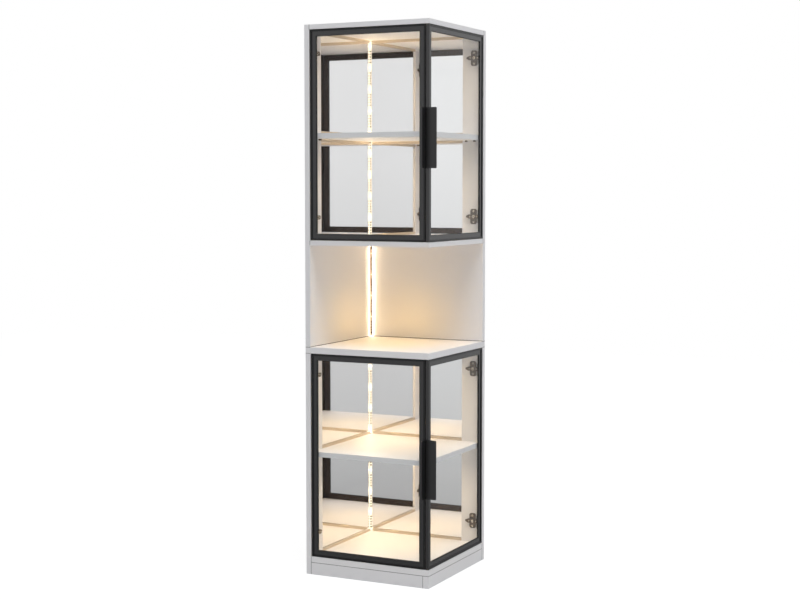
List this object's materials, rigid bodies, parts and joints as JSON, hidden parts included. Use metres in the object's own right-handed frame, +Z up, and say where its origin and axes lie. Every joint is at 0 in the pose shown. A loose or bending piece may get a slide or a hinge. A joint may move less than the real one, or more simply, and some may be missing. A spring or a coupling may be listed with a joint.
{
  "type": "corner curio cabinet",
  "caption": "Tall square corner display cabinet with framed glass doors meeting at the front corner above and below an open niche, mirrored backs, shelves and lit rear corner.",
  "frame": {"origin": "on the floor under the middle of the whole outline, handles included", "axes": "+Z up; -Y out of the left glazed face, +X out of the right glazed face; -X and +Y towards the two room walls"},
  "size_m": [0.424, 0.424, 1.613],
  "materials": {
    "white_board": "satin white laminate",
    "backer_board": "raw fibreboard",
    "mirror_glass": "silvered",
    "door_glass": "clear",
    "frame_metal": "satin black anodised",
    "handle_black": "satin black",
    "hinge_steel": "nickel plated",
    "light_profile": "satin",
    "light_strip": "white"
  },
  "bodies": {
    "cabinet": {"side_panel_upper_left": "white_board", "side_panel_upper_right": "white_board", "side_panel_lower_left": "white_board", "side_panel_lower_right": "white_board", "top_panel": "white_board", "niche_ceiling": "white_board", "niche_floor": "white_board", "bottom_panel": "white_board", "plinth_left": "white_board", "plinth_right": "white_board", "shelf_upper": "white_board", "shelf_lower": "white_board", "mirror_upper_left": "mirror_glass", "mirror_backer_upper_left": "backer_board", "mirror_upper_right": "mirror_glass", "mirror_backer_upper_right": "backer_board", "mirror_lower_left": "mirror_glass", "mirror_backer_lower_left": "backer_board", "mirror_lower_right": "mirror_glass", "mirror_backer_lower_right": "backer_board", "shelf_studs": "hinge_steel", "led_profiles": "light_profile", "led_strip_upper": "light_strip", "led_strip_niche": "light_strip", "led_strip_lower": "light_strip", "hinge_arms_upper": "hinge_steel", "hinge_arms_lower": "hinge_steel"},
    "door_upper_left": {"hinge_stile_upper_left": "frame_metal", "free_stile_upper_left": "frame_metal", "top_rail_upper_left": "frame_metal", "bottom_rail_upper_left": "frame_metal", "glass_upper_left": "door_glass", "handle_upper_left": "handle_black", "hinge_wings_upper_left": "hinge_steel", "hinge_pins_upper_left": "hinge_steel"},
    "door_upper_right": {"hinge_stile_upper_right": "frame_metal", "free_stile_upper_right": "frame_metal", "top_rail_upper_right": "frame_metal", "bottom_rail_upper_right": "frame_metal", "glass_upper_right": "door_glass", "handle_upper_right": "handle_black", "hinge_wings_upper_right": "hinge_steel", "hinge_pins_upper_right": "hinge_steel"},
    "door_lower_left": {"hinge_stile_lower_left": "frame_metal", "free_stile_lower_left": "frame_metal", "top_rail_lower_left": "frame_metal", "bottom_rail_lower_left": "frame_metal", "glass_lower_left": "door_glass", "handle_lower_left": "handle_black", "hinge_wings_lower_left": "hinge_steel", "hinge_pins_lower_left": "hinge_steel"},
    "door_lower_right": {"hinge_stile_lower_right": "frame_metal", "free_stile_lower_right": "frame_metal", "top_rail_lower_right": "frame_metal", "bottom_rail_lower_right": "frame_metal", "glass_lower_right": "door_glass", "handle_lower_right": "handle_black", "hinge_wings_lower_right": "hinge_steel", "hinge_pins_lower_right": "hinge_steel"}
  },
  "joints": [
    {"name": "door_upper_left_hinge", "type": "hinge", "parent": "cabinet", "child": "door_upper_left", "pos_m": [-0.19045, -0.1835, 1.294], "axis": [0, 0, -1], "range_deg": [0, 95]},
    {"name": "door_upper_right_hinge", "type": "hinge", "parent": "cabinet", "child": "door_upper_right", "pos_m": [0.1835, 0.19045, 1.294], "axis": [0, 0, 1], "range_deg": [0, 95]},
    {"name": "door_lower_left_hinge", "type": "hinge", "parent": "cabinet", "child": "door_lower_left", "pos_m": [-0.19045, -0.1835, 0.356], "axis": [0, 0, -1], "range_deg": [0, 95]},
    {"name": "door_lower_right_hinge", "type": "hinge", "parent": "cabinet", "child": "door_lower_right", "pos_m": [0.1835, 0.19045, 0.356], "axis": [0, 0, 1], "range_deg": [0, 95]}
  ]
}
